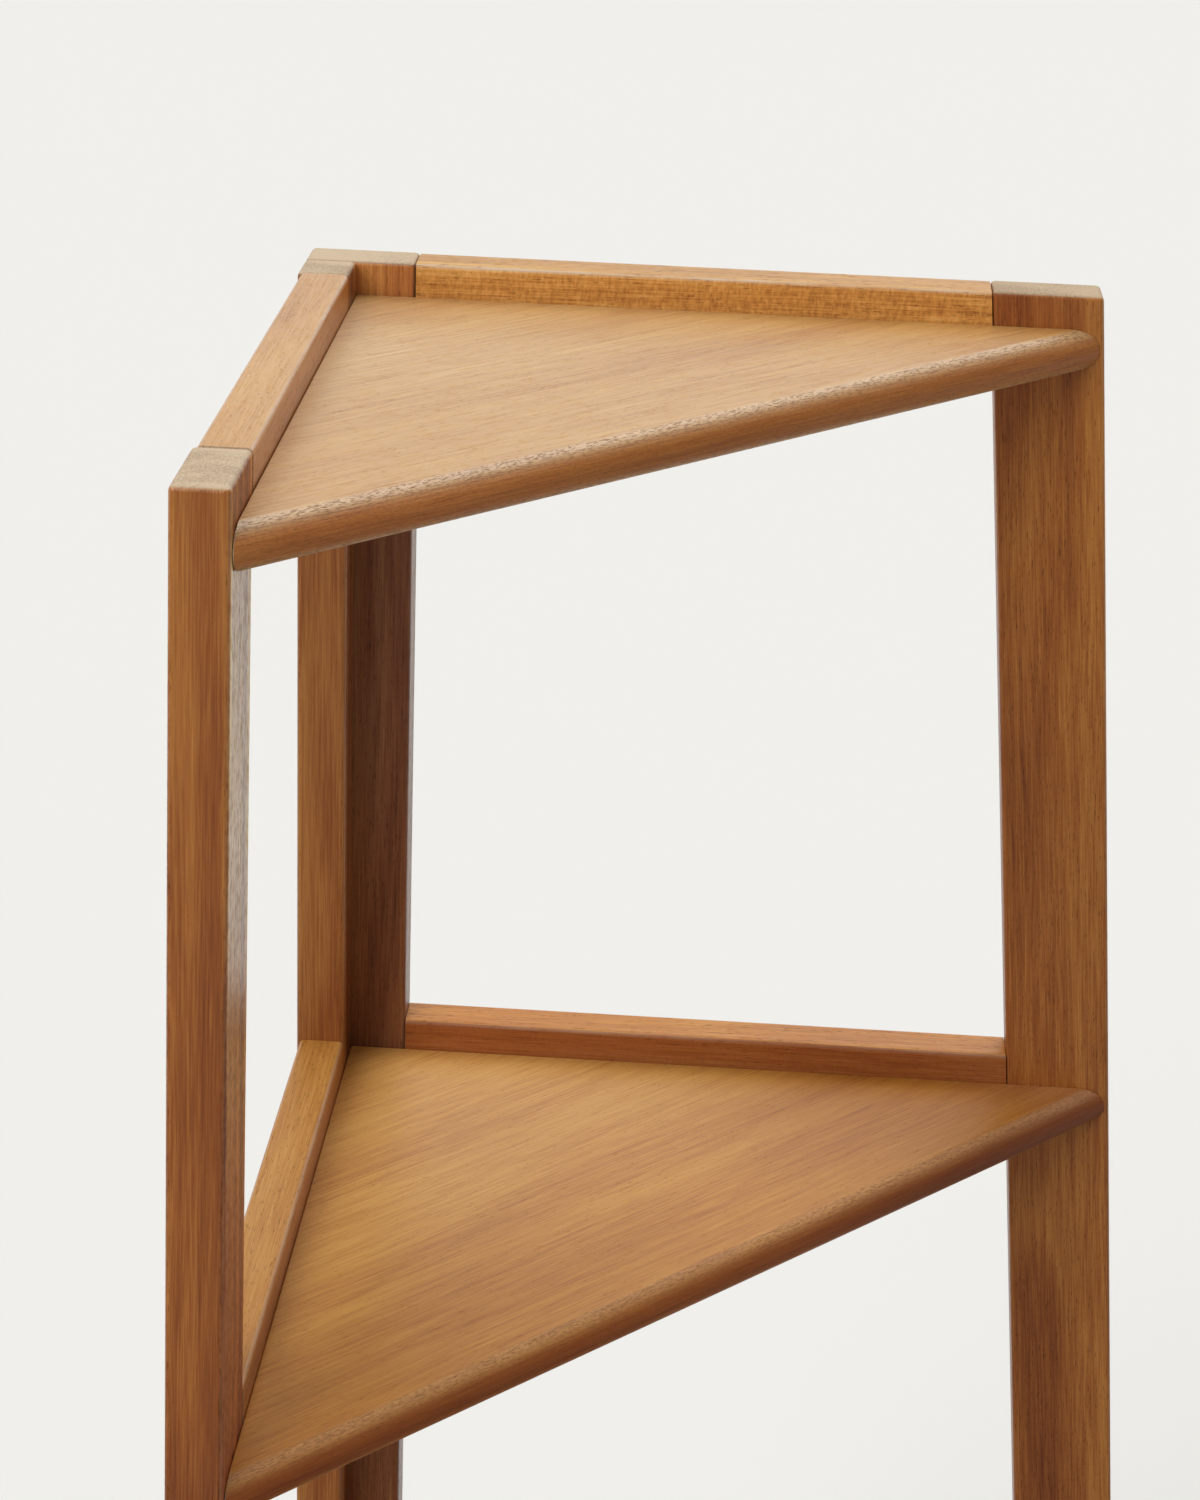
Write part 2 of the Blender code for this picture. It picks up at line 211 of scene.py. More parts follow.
# Wood grain, shared by every timber. Board runs across, through and along the grain in metres.
grainLook = {
    # Noises: how many to the metre across, through and along, then their detail and roughness
    "noises": {
        "wander": ((9.0, 9.0, 1.6), 2.0, 0.5),
        "rings": ((1.0, 1.0, 1.0), 3.0, 0.6),             # to the ring, not to the metre
        "swell": ((60.0, 60.0, 9.0), 1.0, 0.5),
        "streaks": ((300.0, 300.0, 7.0), 2.0, 0.5),
        "fibres": ((1100.0, 1100.0, 26.0), 2.0, 0.6),
        "dashes": ((1500.0, 1500.0, 300.0), 2.0, 0.6),
        "crossFigure": ((230.0, 230.0, 560.0), 2.0, 0.7),
        "patches": ((14.0, 14.0, 6.0), 1.0, 0.5),
        "flecks": ((210.0, 210.0, 90.0), 4.0, 0.7),
        "sideDashes": ((260.0, 260.0, 190.0), 3.0, 0.6),
        "edgeBreakup": ((300.0, 300.0, 40.0), 2.0, 0.5),
        "endCells": ((900.0, 900.0, 40.0), 2.0, 0.6),
        "film": ((260.0, 260.0, 110.0), 2.0, 0.7),
    },
    "limits": {                           # where an effect starts and where it is full
        "flecks": (0.60, 0.76),           # of the noise
        "sideDashes": (0.42, 0.66),
        "dashPores": (-0.02, 0.12),
        "endGrain": (0.45, 0.88),         # of the surface's normal
        "edge": (0.02, 0.22),
        "nose": (0.45, 1.0),
        "speckle": (0.10, 0.30),
    },
    "bends": {"rings": 0.05, "fibres": 0.006},
    "tone": {"ringsAlong": 0.8, "sideDashes": -0.25, "patches": 0.25},
    "pores": {"size": (1500.0, 1500.0, 130.0), "spread": 0.25, "softness": 0.5},
    "noseSpeckle": -0.6,
    "endTone": {"bands": 0.55, "cells": 0.9},
    "height": {"pores": -1.0, "crossFigure": 0.2, "dashes": 2.0},
    "sheen": {"base": 0.9, "film": 2.2, "fibres": 1.2, "speckle": 0.5, "dashes": 4.0, "nose": -0.8},
}


def makeWoodGrain():
    noises, limits = grainLook["noises"], grainLook["limits"]
    tree = bpy.data.node_groups.new("woodGrain", "ShaderNodeTree")
    for name in ("Board", "Facing"):
        tree.interface.new_socket(name, in_out="INPUT", socket_type="NodeSocketVector")
    for name, value in (("Ring Width", 0.009), ("Bands", 0.4), ("Streaks", 0.6), ("Fibres", 1.0),
                        ("Mottle", 0.1), ("Flecks", 0.0), ("Pores", 0.5), ("Side Dashes", 0.0),
                        ("Round Nose", 0.0), ("Nose Speckle", 0.0)):
        socket = tree.interface.new_socket(name, in_out="INPUT", socket_type="NodeSocketFloat")
        socket.default_value = value
    for name in ("Tone", "Pores", "Height", "End Grain", "End Tone", "Edge", "Nose", "Sheen"):
        tree.interface.new_socket(name, in_out="OUTPUT", socket_type="NodeSocketFloat")
    inputs = addNode(tree, "NodeGroupInput").outputs
    board = inputs["Board"]

    # The board wanders a little about its straight line, and so do its growth rings
    wander = noiseNode(tree, board, *noises["wander"]).outputs["Color"]
    centred = addNode(tree, "ShaderNodeVectorMath", {0: wander, 1: (0.5, 0.5, 0.5)},
                      operation="SUBTRACT").outputs[0]

    def bentBoard(amount):
        return addNode(tree, "ShaderNodeVectorMath",
                       {0: board, 1: stretched(tree, centred, (amount, amount, 0.0))},
                       operation="ADD").outputs[0]

    bent, straighter = bentBoard(grainLook["bends"]["rings"]), bentBoard(grainLook["bends"]["fibres"])
    flat = stretched(tree, bent, (1.0, 1.0, 0.0))
    radius = addNode(tree, "ShaderNodeVectorMath", {0: flat}, operation="LENGTH").outputs["Value"]
    rings = maths(tree, "DIVIDE", radius, inputs["Ring Width"])
    along = addNode(tree, "ShaderNodeSeparateXYZ", {0: board}).outputs[2]
    along = maths(tree, "MULTIPLY", along, grainLook["tone"]["ringsAlong"])
    ringPlace = addNode(tree, "ShaderNodeCombineXYZ", {0: rings, 1: along, 2: 0.0}).outputs[0]

    def centredNoise(vector, name):
        return maths(tree, "SUBTRACT", noise(tree, vector, noises[name]), 0.5)

    bands = centredNoise(ringPlace, "rings")
    comesAndGoes = maths(tree, "MULTIPLY", noise(tree, board, noises["swell"]), 2.0)  # about 1
    coarse = maths(tree, "MULTIPLY", centredNoise(straighter, "streaks"), comesAndGoes)
    fine = centredNoise(straighter, "fibres")
    dashes = centredNoise(board, "dashes")
    cross = centredNoise(board, "crossFigure")
    patches = noise(tree, board, noises["patches"])

    tone = maths(tree, "MULTIPLY_ADD", bands, maths(tree, "MULTIPLY", inputs["Bands"], 2.0), 0.5)
    tone = maths(tree, "MULTIPLY_ADD", coarse, inputs["Streaks"], tone)
    tone = maths(tree, "MULTIPLY_ADD", fine, inputs["Fibres"], tone)
    facing = addNode(tree, "ShaderNodeSeparateXYZ",
                     {0: addNode(tree, "ShaderNodeVectorMath", {0: inputs["Facing"]},
                                 operation="ABSOLUTE").outputs[0]}).outputs
    mottle = maths(tree, "MULTIPLY", inputs["Mottle"], facing[1])
    tone = maths(tree, "MULTIPLY_ADD", cross, mottle, tone)
    flecks = smoothStep(tree, noise(tree, board, noises["flecks"]), *limits["flecks"])
    tone = maths(tree, "SUBTRACT", tone, maths(tree, "MULTIPLY", flecks, inputs["Flecks"]))
    sideDashes = smoothStep(tree, noise(tree, board, noises["sideDashes"]), *limits["sideDashes"])
    sideDashes = maths(tree, "MULTIPLY", maths(tree, "MULTIPLY", sideDashes, facing[1]),
                       inputs["Side Dashes"])
    tone = maths(tree, "MULTIPLY_ADD", sideDashes, grainLook["tone"]["sideDashes"], tone)
    tone = maths(tree, "MULTIPLY_ADD", maths(tree, "SUBTRACT", patches, 0.5),
                 grainLook["tone"]["patches"], tone, clamp=True)

    endGrain = smoothStep(tree, facing[2], *limits["endGrain"])
    # Rounded edges, made paler in the material: partly wear, partly a painted highlight
    flattest = maths(tree, "MAXIMUM", maths(tree, "MAXIMUM", facing[0], facing[1]), facing[2])
    edge = smoothStep(tree, maths(tree, "SUBTRACT", 1.0, flattest), *limits["edge"])
    edge = maths(tree, "MULTIPLY", maths(tree, "MULTIPLY", edge, comesAndGoes),
                 noise(tree, board, noises["edgeBreakup"]), clamp=True)
    # The forward-facing curve of a round nose: darkened in the material as painted shade, and given less
    # sheen
    nose = maths(tree, "MULTIPLY", smoothStep(tree, facing[0], *limits["nose"]), inputs["Round Nose"])
    speckled = maths(tree, "MULTIPLY", smoothStep(tree, facing[0], *limits["speckle"]),
                     inputs["Nose Speckle"])
    # On a round nose the edges stay plain and the nose's upper band is made paler instead, a painted
    # highlight
    edge = maths(tree, "MULTIPLY", edge, maths(tree, "SUBTRACT", 1.0, inputs["Round Nose"]))
    edge = maths(tree, "MAXIMUM", edge,
                 maths(tree, "MULTIPLY", maths(tree, "SUBTRACT", 1.0, nose), speckled))
    fainter = maths(tree, "MULTIPLY_ADD", nose, grainLook["noseSpeckle"], 1.0)
    speckled = maths(tree, "MULTIPLY", fainter, speckled)

    # Open pores: short dark dashes of many sizes, more of them in the darker bands and where the
    # nose cuts the fibres
    cells = addNode(tree, "ShaderNodeTexVoronoi",
                    {"Vector": stretched(tree, board, grainLook["pores"]["size"]), "Scale": 1.0}).outputs
    size = addNode(tree, "ShaderNodeSeparateColor", {0: cells["Color"]}).outputs[0]
    spread = maths(tree, "MULTIPLY_ADD", maths(tree, "SUBTRACT", patches, tone),
                   grainLook["pores"]["spread"], inputs["Pores"])
    spread = maths(tree, "MULTIPLY", spread, maths(tree, "MULTIPLY", size, size))
    core = maths(tree, "MULTIPLY", spread, grainLook["pores"]["softness"])
    pores = maths(tree, "SUBTRACT", 1.0, smoothStep(tree, cells["Distance"], core, spread))
    pores = maths(tree, "MAXIMUM", pores,
                  maths(tree, "MULTIPLY", smoothStep(tree, dashes, *limits["dashPores"]), speckled))

    # End grain: soft arcs of the rings, fine open cells and greyer patches
    dots = centredNoise(board, "endCells")
    endTone = maths(tree, "MULTIPLY_ADD", dots, grainLook["endTone"]["cells"], patches)
    endTone = maths(tree, "MULTIPLY_ADD", bands, grainLook["endTone"]["bands"], endTone, clamp=True)

    raised = grainLook["height"]
    height = maths(tree, "MULTIPLY_ADD", pores, raised["pores"], fine)
    height = maths(tree, "MULTIPLY_ADD", cross, raised["crossFigure"], height)
    height = maths(tree, "MULTIPLY_ADD", dashes, maths(tree, "MULTIPLY", speckled, raised["dashes"]),
                   height)
    shine = grainLook["sheen"]
    film = centredNoise(board, "film")
    sheen = maths(tree, "MULTIPLY_ADD", fine, shine["fibres"], shine["base"])
    sheen = maths(tree, "MULTIPLY_ADD", film, shine["film"], sheen)
    glints = maths(tree, "MULTIPLY_ADD", dashes, shine["dashes"], shine["speckle"])
    sheen = maths(tree, "MULTIPLY_ADD", speckled, glints, sheen)
    sheen = maths(tree, "MULTIPLY", sheen, maths(tree, "MULTIPLY_ADD", nose, shine["nose"], 1.0))
    dull = maths(tree, "MAXIMUM", maths(tree, "MAXIMUM", pores, endGrain), sideDashes)
    sheen = maths(tree, "MULTIPLY", sheen, maths(tree, "SUBTRACT", 1.0, dull), clamp=True)
    addNode(tree, "NodeGroupOutput", {"Tone": tone, "Pores": pores, "Height": height, "Edge": edge,
                                      "End Grain": endGrain, "End Tone": endTone, "Nose": nose,
                                      "Sheen": sheen})
    return tree


woodGrain = makeWoodGrain()

# Oiled wood finishes, deep to pale, as a picture would show them
woods = {
    "posts": {
        "deep": (118, 60, 28), "middle": (162, 98, 44), "pale": (198, 138, 68), "pore": (58, 28, 14),
        "figure": {"Bands": 0.80, "Streaks": 0.34, "Fibres": 0.65, "Mottle": 0.1, "Pores": 0.43},
    },
    "rails": {
        "deep": (140, 80, 36), "middle": (188, 128, 62), "pale": (214, 162, 96), "pore": (84, 44, 20),
        "figure": {"Bands": 0.24, "Streaks": 0.25, "Fibres": 0.6, "Mottle": 0.2, "Pores": 0.42},
    },
    "shelves": {
        "deep": (158, 92, 44), "middle": (188, 128, 60), "pale": (206, 152, 78), "pore": (92, 48, 26),
        "figure": {"Bands": 0.20, "Streaks": 0.25, "Fibres": 0.70, "Mottle": 0.1, "Pores": 0.34,
                   "Round Nose": 1.0, "Nose Speckle": 1.0},
    },
}
toneStops = {"deep": 0.2, "middle": 0.5, "pale": 0.8}  # where each shade lies on the grain's tone
endWood = {"deep": (174, 148, 120), "pale": (216, 192, 160)}
endStops = {"deep": 0.2, "pale": 0.55}    # the same on the end grain's tone
# Paler colour of worn edges and of painted highlights on edges and on the shelves' noses
wearAndHighlightWood = (232, 204, 172)
oil = {
    "roughness": 0.45, "poreRoughness": 0.25, "endRoughness": 0.25, "specular": 0.35,
    "sheen": 0.5, "sheenRoughness": 0.30, "poreShade": 0.5, "edgeWearAndHighlight": 0.10,
    "relief": 0.6, "poreDepth": 0.0003,
}
plainTint = (1.0, 1.0, 1.0)


def tinted(shade, tint):
    red, green, blue, alpha = colour(*shade)
    return (red * tint[0], green * tint[1], blue * tint[2], alpha)


# A change in a board's colour or sheen: where it faces one way, the more squarely the higher square
# is, or from a start to a full place over its width, thickness or length, in metres from its middle
boardAxes = {"across": 0, "through": 1, "along": 2}
usualSquare = 0.75


def changeShare(tree, change, places, sides, pith):
    share = 1.0
    if "side" in change:
        axis, sign = change["side"]
        square = change.get("square", usualSquare)
        share = smoothStep(tree, maths(tree, "MULTIPLY", sides[boardAxes[axis]], sign),
                           square, (1 + square) / 2)
    if "over" in change:
        axis, start, full = change["over"]
        middle = pith[boardAxes[axis]]
        reached = smoothStep(tree, places[boardAxes[axis]], middle + start, middle + full)
        share = maths(tree, "MULTIPLY", share, reached)
    return share


def woodMaterial(nodeName, wood, board):
    material = bpy.data.materials.new(camelName(nodeName) + "Wood")
    material.use_nodes = True
    tree = material.node_tree
    tree.nodes.clear()
    tint, endTint = board.get("tint", plainTint), board.get("endTint", plainTint)

    # Turns the object's place and normal into the board's own directions
    along = Vector(board["along"]).normalized()
    across = Vector(board["across"])
    across = (across - along * along.dot(across)).normalized()
    turn = Matrix((across, along.cross(across), along))
    shift = Vector(board["pith"]) - turn @ centreOf(nodeName)
    coordinates = addNode(tree, "ShaderNodeTexCoord")
    place = addNode(tree, "ShaderNodeMapping",
                    {"Vector": coordinates.outputs["Object"], "Location": shift,
                     "Rotation": turn.to_euler("XYZ")}, vector_type="POINT").outputs[0]
    facing = addNode(tree, "ShaderNodeMapping",
                     {"Vector": coordinates.outputs["Normal"], "Rotation": turn.to_euler("XYZ")},
                     vector_type="VECTOR").outputs[0]
    grain = addNode(tree, "ShaderNodeGroup", node_tree=woodGrain)
    tree.links.new(place, grain.inputs["Board"])
    tree.links.new(facing, grain.inputs["Facing"])
    grain.inputs["Ring Width"].default_value = board["ring"]
    for name, value in {**wood["figure"], **board.get("figure", {})}.items():
        grain.inputs[name].default_value = value
    tone, pores = grain.outputs["Tone"], grain.outputs["Pores"]
    endGrain, nose = grain.outputs["End Grain"], grain.outputs["Nose"]

    ramp = addNode(tree, "ShaderNodeValToRGB", {0: tone})
    for stop, shade in zip(ramp.color_ramp.elements, ("deep", "pale")):
        stop.position = toneStops[shade]
        stop.color = tinted(wood[shade], tint)
    middle = ramp.color_ramp.elements.new(toneStops["middle"])
    middle.color = tinted(wood["middle"], tint)
    cut = addNode(tree, "ShaderNodeValToRGB", {0: grain.outputs["End Tone"]})
    for stop, shade in zip(cut.color_ramp.elements, ("deep", "pale")):
        stop.position = endStops[shade]
        stop.color = tinted(endWood[shade], endTint)

    base = ramp.outputs[0]
    sheen = maths(tree, "MULTIPLY", grain.outputs["Sheen"], board.get("sheen", oil["sheen"]), clamp=True)
    places = addNode(tree, "ShaderNodeSeparateXYZ", {0: place}).outputs
    sides = addNode(tree, "ShaderNodeSeparateXYZ", {0: facing}).outputs
    for change in board.get("changes", ()):
        share = changeShare(tree, change, places, sides, board["pith"])
        if "tint" in change:
            base = mixColours(tree, share, base, (*change["tint"], 1.0), "MULTIPLY")
        if "sheen" in change:
            kept = maths(tree, "MULTIPLY_ADD", share, change["sheen"] - 1.0, 1.0)
            sheen = maths(tree, "MULTIPLY", sheen, kept)
    # Painted shade: the forward-facing curve of a shelf's rounded nose is darkened
    if "noseShade" in board:
        base = mixColours(tree, nose, base, (*board["noseShade"], 1.0), "MULTIPLY")
    # Rounded edges and the upper band of a shelf's nose made paler: partly wear, partly painted
    # highlight
    paleEdgeShare = maths(tree, "MULTIPLY", grain.outputs["Edge"], board.get("wear", oil["edgeWearAndHighlight"]))
    base = mixColours(tree, paleEdgeShare, base, colour(*wearAndHighlightWood))
    poreShade = maths(tree, "MULTIPLY", pores, oil["poreShade"])
    base = mixColours(tree, poreShade, base, tinted(wood["pore"], tint))
    base = mixColours(tree, endGrain, base, cut.outputs[0])
    rough = maths(tree, "MULTIPLY_ADD", pores, oil["poreRoughness"], oil["roughness"])
    rough = maths(tree, "MULTIPLY_ADD", endGrain, oil["endRoughness"], rough)
    bump = addNode(tree, "ShaderNodeBump",
                   {"Height": grain.outputs["Height"], "Strength": oil["relief"],
                    "Distance": oil["poreDepth"]}).outputs[0]
    surface = addNode(tree, "ShaderNodeBsdfPrincipled",
                      {"Base Color": base, "Roughness": rough, "Normal": bump,
                       "Coat Weight": sheen, "Coat Roughness": oil["sheenRoughness"],
                       "Specular IOR Level": oil["specular"]})
    addNode(tree, "ShaderNodeOutputMaterial", {"Surface": surface.outputs[0]})
    return material


def camelName(nodeName):
    first, *rest = nodeName.split("_")
    return first + "".join(word.capitalize() for word in rest)


def centreOf(nodeName):
    low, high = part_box(nodeName)
    return (low + high) / 2


# A timber is a merged copy of its node, so that its rounded edges shade smoothly
timber = {"mergeDistance": 0.000005, "flatAngle": 0.3, "sharpAngle": 38}  # metres, degrees


def dressTimber(nodeName, slotName, board):
    bm = bmesh.new()
    bm.from_mesh(nodes[nodeName].data)
    bmesh.ops.remove_doubles(bm, verts=bm.verts, dist=timber["mergeDistance"])
    bmesh.ops.dissolve_limit(bm, angle_limit=radians(timber["flatAngle"]), verts=bm.verts,
                             edges=bm.edges)
    mesh = bpy.data.meshes.new(camelName(nodeName))
    bm.to_mesh(mesh)
    bm.free()
    mesh.materials.clear()
    mesh.materials.append(woodMaterial(nodeName, woods[slotName], board))
    mesh.shade_smooth()
    mesh.set_sharp_from_angle(angle=radians(timber["sharpAngle"]))
    piece = bpy.data.objects.new(camelName(nodeName), mesh)
    scene.collection.objects.link(piece)
    weighted = piece.modifiers.new("flatFaces", "WEIGHTED_NORMAL")
    weighted.keep_sharp = True
    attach(piece, "root")
    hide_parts(nodeName)


# Posts: how each board leans, where it lay in its log (across, through and along), its own
# growth rings, and its tint and changes, which partly paint light and shade on it
lean = 0.0963                             # sideways for each metre up
posts = {
    # Corner post: tinted darker all over, partly a darker board and partly painted shade, with its back
    # and left sides brought back to plain wood; the head of its front, by the top shelf, made lighter,
    # painted light
    "right_corner_post": {"across": (1, 0, 0), "along": (0, 0, 1), "pith": (0.020, 0.095, 0.3),
                          "ring": 0.016, "tint": (0.61, 0.62, 1.11), "figure": {"Bands": 0.55},
                          "changes": [{"side": ("through", -1), "over": ("along", 0.718, 0.783),
                                       "tint": (2.46, 2.53, 1.69)},
                                      {"side": ("through", 1), "tint": (1.64, 1.50, 0.86)},
                                      {"side": ("across", -1), "tint": (1.64, 1.50, 0.86)}]},
    # Front post at the right: lighter from the middle up, a little less at the very top, painted light
    "right_front_post": {"across": (1, 0, 0), "along": (-lean, 0, 1), "pith": (0.020, 0.110, 1.9),
                         "ring": 0.020, "tint": (1.06, 0.98, 0.89), "endTint": (0.87, 0.84, 0.80),
                         "sheen": 0.35, "figure": {"Bands": 0.58},
                         "changes": [{"over": ("along", 0.400, 0.686), "tint": (1.22, 1.26, 1.17)},
                                     {"over": ("along", 0.740, 0.800), "tint": (0.91, 0.90, 0.97)}]},
    "left_corner_post": {"across": (0, 1, 0), "along": (0, 0, 1), "pith": (0.105, 0.020, 3.1),
                         "ring": 0.014, "tint": (0.89, 0.83, 0.89)},
    # Front post at the left: its inner side made paler and greyer above the upper shelf, a painted
    # reflection of the bright wall, which stops at the top shelf; lower down that side is darker and
    # warmer with less sheen, and its front is a little darker from the middle up
    "left_front_post": {"across": (0, 1, 0), "along": (0, lean, 1), "pith": (0.110, 0.010, 4.7),
                        "ring": 0.012, "tint": (1.19, 1.05, 0.84), "sheen": 1.12,
                        "changes": [{"side": ("through", -1), "square": 0.94,
                                     "over": ("along", 0.405, 0.646), "tint": (1.68, 2.95, 2.85)},
                                    {"side": ("through", -1), "square": 0.94,
                                     "over": ("along", 0.777, 0.795),
                                     "tint": (0.65, 0.39, 0.40), "sheen": 0.0},
                                    {"side": ("through", -1), "over": ("along", 0.646, 0.405),
                                     "tint": (0.98, 0.72, 0.62), "sheen": 0.35},
                                    {"side": ("across", -1), "over": ("along", 0.250, 0.500),
                                     "tint": (0.95, 0.92, 0.93)}],
                        "figure": {"Side Dashes": 0.6}},
}
for nodeName, board in posts.items():
    dressTimber(nodeName, "posts", board)
print("posts made")

# Rails: tint, sheen, edge wear and highlight, changes and figure of each, from the top down;
# their tints and changes partly paint light and shade on their sides
rails = {
    "right": {"across": (0, 0, 1), "along": (1, 0, 0), "pith": (0.060, 0.080), "ring": 0.011,
              # Top rail at the right: its front made much lighter than its top, partly its own paler
              # wood and partly painted light
              "boards": [{"tint": (1.52, 1.64, 1.60), "sheen": 0.3, "wear": 1.6,
                          "changes": [{"side": ("across", 1), "tint": (0.88, 0.915, 0.76)}],
                          "figure": {"Mottle": 0.60, "Flecks": 0.35, "Pores": 0.45}},
                         # Upper rail at the right: its front made dark, painted shade under the top
                         # shelf, and its top lighter, painted light
                         {"tint": (0.76, 0.53, 0.50), "sheen": 0.25, "wear": 0.4,
                          "changes": [{"side": ("across", 1), "tint": (1.55, 1.85, 0.68)}]},
                         {}, {"tint": (0.95, 0.85, 0.8)}]},
    "left": {"across": (0, 0, 1), "along": (0, 1, 0), "pith": (0.090, 0.050), "ring": 0.011,
             # Top rail at the left: top lighter and inner side darker, painted light and shade
             "boards": [{"tint": (1.16, 1.10, 0.96), "sheen": 0.6, "wear": 0.8,
                         "changes": [{"side": ("across", 1), "tint": (1.08, 1.27, 1.54)},
                                     {"side": ("through", 1), "tint": (0.97, 0.88, 0.76)}],
                         "figure": {"Streaks": 0.14, "Fibres": 0.4, "Pores": 0.31}},
                        # Upper rail at the left: top lighter and inner side darker, painted light and
                        # shade
                        {"tint": (1.05, 0.94, 0.78), "sheen": 0.2, "wear": 0.5,
                         "changes": [{"side": ("across", 1), "tint": (1.16, 1.28, 1.28)},
                                     {"side": ("through", 1), "tint": (0.95, 0.87, 0.82)}]},
                        {"tint": (0.95, 0.9, 0.85)}, {}]},
}
levels = ("top", "upper", "lower", "bottom")
railPlace = {"first": 0.4, "spacing": 1.3}  # metres along the log
for side, rail in rails.items():
    for step, level in enumerate(levels):
        placeAlong = railPlace["spacing"] * step + railPlace["first"]
        board = {**rail, **rail["boards"][step], "pith": (*rail["pith"], placeAlong)}
        dressTimber(f"{level}_{side}_rail", "rails", board)
print("rails made")

# Shelves, their grain along the rounded front edge and no sheen underneath; their noses darkened
# by painted shade, and the two upper ones with painted light and shade by place
shelfPlace = {"pith": (0.30, 0.16), "spacing": 0.9}
dullBelow = {"side": ("through", 1), "square": 0.15, "sheen": 0.0}
shelves = [
    {"ring": 0.024, "tint": (1.23, 1.49, 2.04), "noseShade": (0.85, 0.53, 0.29), "sheen": 0.65,
     "wear": 0.30,
     # Paler and cooler towards the back, painted light
     "changes": [{"over": ("across", -0.06, -0.22), "tint": (1.10, 1.22, 1.52)},
                 # The nose's front paler towards its left end, less painted shade there
                 {"side": ("across", 1), "over": ("along", -0.02, -0.20), "tint": (1.19, 1.24, 1.66)},
                 dullBelow]},
    {"ring": 0.030, "tint": (1.25, 1.20, 0.76), "noseShade": (0.58, 0.35, 0.37), "sheen": 0.10,
     "wear": 0.20, "figure": {"Bands": 0.30, "Streaks": 0.24, "Nose Speckle": 0.80},
     # Paler, cooler and glossier towards the back, painted light
     "changes": [{"over": ("across", 0.00, -0.26), "tint": (1.06, 1.27, 2.35), "sheen": 2.5},
                 # Darker towards the right end, painted shade
                 {"over": ("along", 0.04, 0.26), "tint": (0.70, 0.62, 0.50), "sheen": 0.2},
                 # The top at the very tip cooler again, within that painted shade
                 {"side": ("through", -1), "square": 0.50, "over": ("along", 0.25, 0.33),
                  "tint": (1.10, 1.20, 3.30)},
                 dullBelow]},
    {"ring": 0.018, "tint": (0.95, 0.92, 0.90), "noseShade": (0.78, 0.56, 0.42), "changes": [dullBelow]},
    {"ring": 0.022, "tint": (1.00, 0.97, 0.92), "noseShade": (0.78, 0.56, 0.42), "changes": [dullBelow]},
]
for step, level in enumerate(levels):
    low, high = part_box(level + "_shelf")
    frontEdge = Vector((high.x - low.x, high.y - low.y, 0))
    board = {"across": (frontEdge.y, -frontEdge.x, 0), "along": frontEdge,
             "pith": (*shelfPlace["pith"], shelfPlace["spacing"] * step), **shelves[step]}
    dressTimber(level + "_shelf", "shelves", board)
print("shelves made")


# Surface of small metal and plastic parts: soft clouds, fine grit and scuffs
surfaceWear = {
    "clouds": ((260.0, 260.0, 260.0), 3.0, 0.6),          # noises as for the wood
    "grit": ((2600.0, 2600.0, 2600.0), 2.0, 0.5),
    "scuffs": ((420.0, 420.0, 1900.0), 3.0, 0.7),
    "scuffLimits": (0.56, 0.70),
    "scuffHeight": -0.6,
    "cloudRoughness": 0.18,
    "scuffRoughness": 0.15,
    "relief": 0.5,
}


def makeFineSurface():
    tree = bpy.data.node_groups.new("fineSurface", "ShaderNodeTree")
    tree.interface.new_socket("Place", in_out="INPUT", socket_type="NodeSocketVector")
    for name in ("Clouds", "Scuffs", "Height"):
        tree.interface.new_socket(name, in_out="OUTPUT", socket_type="NodeSocketFloat")
    place = addNode(tree, "NodeGroupInput").outputs["Place"]
    clouds = noise(tree, place, surfaceWear["clouds"])
    grit = noise(tree, place, surfaceWear["grit"])
    scuffs = smoothStep(tree, noise(tree, place, surfaceWear["scuffs"]), *surfaceWear["scuffLimits"])
    height = maths(tree, "MULTIPLY_ADD", scuffs, surfaceWear["scuffHeight"], grit)
    addNode(tree, "NodeGroupOutput", {"Clouds": clouds, "Scuffs": scuffs, "Height": height})
    return tree


fineSurface = makeFineSurface()


def fineMaterial(name, look):
    material = bpy.data.materials.new(name)
    material.use_nodes = True
    tree = material.node_tree
    tree.nodes.clear()
    fine = addNode(tree, "ShaderNodeGroup", node_tree=fineSurface)
    tree.links.new(addNode(tree, "ShaderNodeTexCoord").outputs["Object"], fine.inputs["Place"])
    base = mixColours(tree, fine.outputs["Clouds"], colour(*look["deep"]), colour(*look["pale"]))
    base = mixColours(tree, fine.outputs["Scuffs"], base, colour(*look["scuffed"]))
    rough = maths(tree, "MULTIPLY_ADD", fine.outputs["Clouds"], surfaceWear["cloudRoughness"],
                  look["roughness"])
    rough = maths(tree, "MULTIPLY_ADD", fine.outputs["Scuffs"], surfaceWear["scuffRoughness"], rough)
    bump = addNode(tree, "ShaderNodeBump",
                   {"Height": fine.outputs["Height"], "Strength": surfaceWear["relief"],
                    "Distance": look["grit"]}).outputs[0]
    surface = addNode(tree, "ShaderNodeBsdfPrincipled",
                      {"Base Color": base, "Roughness": rough, "Normal": bump,
                       "Metallic": look["metallic"]})
    addNode(tree, "ShaderNodeOutputMaterial", {"Surface": surface.outputs[0]})
    return material


